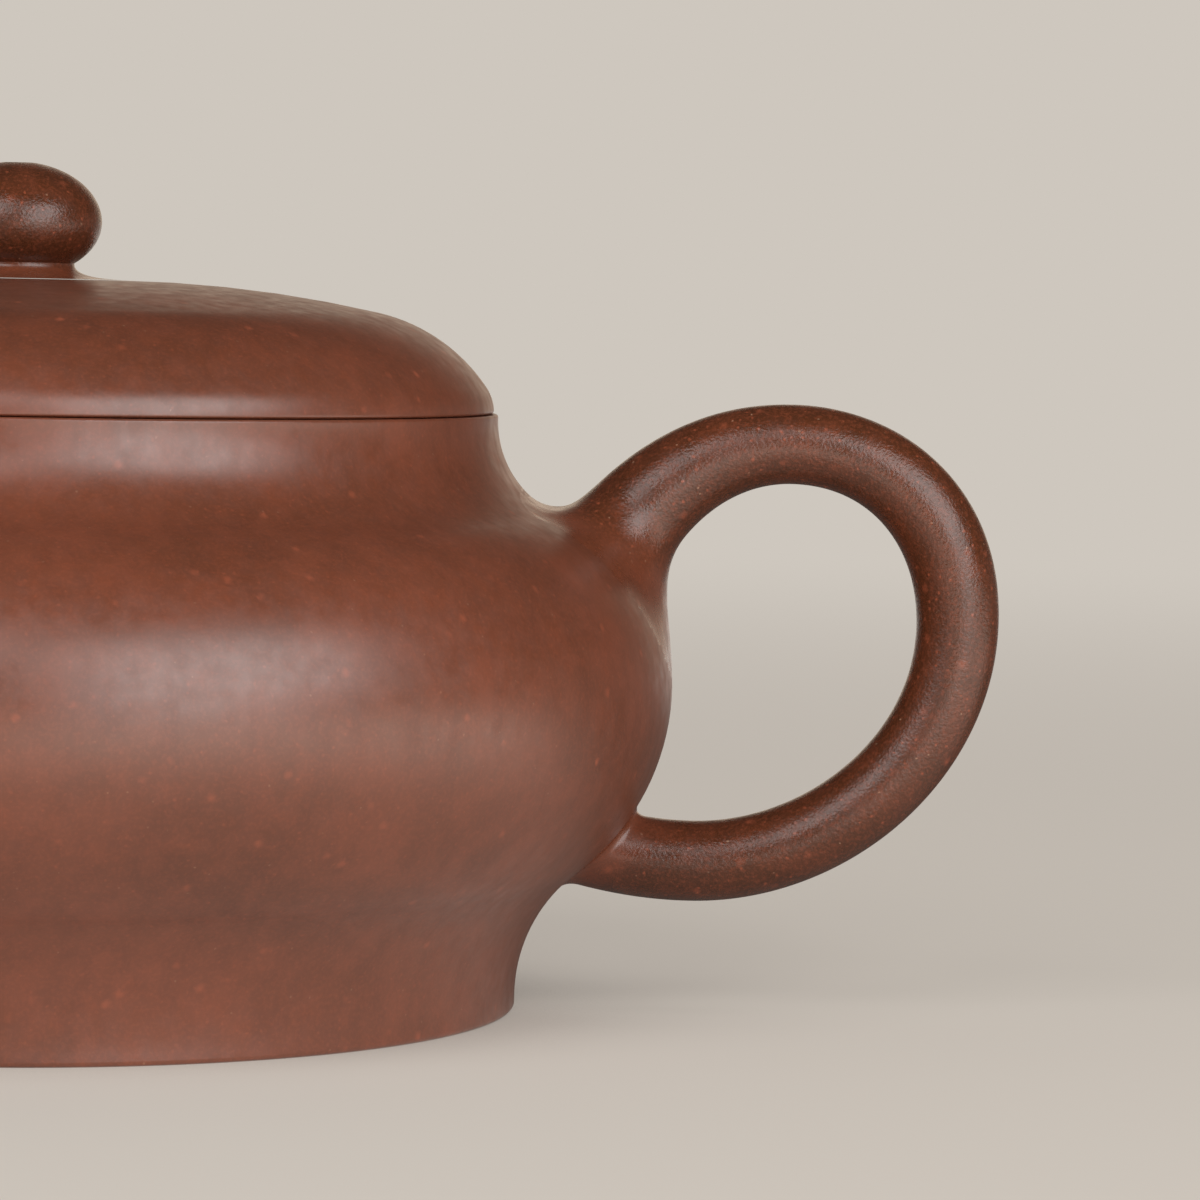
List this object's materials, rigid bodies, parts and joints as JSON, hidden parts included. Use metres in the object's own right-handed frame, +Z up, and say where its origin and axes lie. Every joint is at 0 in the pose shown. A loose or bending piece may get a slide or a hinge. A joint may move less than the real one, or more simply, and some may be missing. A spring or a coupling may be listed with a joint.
{
  "type": "clay teapot",
  "caption": "Squat round unglazed clay teapot with a waisted neck, swept spout, ear-shaped handle and a lift-off domed lid with a ball knob.",
  "frame": {"origin": "centre of the foot ring's bottom face, on the pot's axis", "axes": "+Z up along the pot's axis; +X from the axis to the handle, -X to the spout; +Y away from the viewer who has the handle on the right"},
  "size_m": [0.151, 0.1, 0.0632],
  "materials": {
    "pot_clay": "unglazed purple-brown stoneware clay, burnished, with fine grains",
    "limb_clay": "unglazed purple-brown stoneware clay, hand-smoothed, with more open grains",
    "lid_clay": "unglazed purple-brown stoneware clay, burnished, with fine grains"
  },
  "bodies": {
    "pot": {"body_wall": "pot_clay", "shoulder_disc": "pot_clay", "neck_ring": "pot_clay", "base_disc": "pot_clay", "foot_ring": "pot_clay", "spout": "limb_clay", "strainer": "pot_clay", "handle": "limb_clay"},
    "lid_seat": {"lid_flange": "lid_clay"},
    "lid": {"lid_plate": "lid_clay", "lid_dome": "lid_clay", "knob": "lid_clay"}
  },
  "joints": [
    {"name": "lid_lift", "type": "slide", "parent": "pot", "child": "lid_seat", "axis": [0, 0, 1], "range_m": [0, 0.05]},
    {"name": "lid_turn", "type": "hinge", "parent": "lid_seat", "child": "lid", "pos_m": [0, 0, 0.045], "axis": [0, 0, 1], "continuous": true}
  ]
}
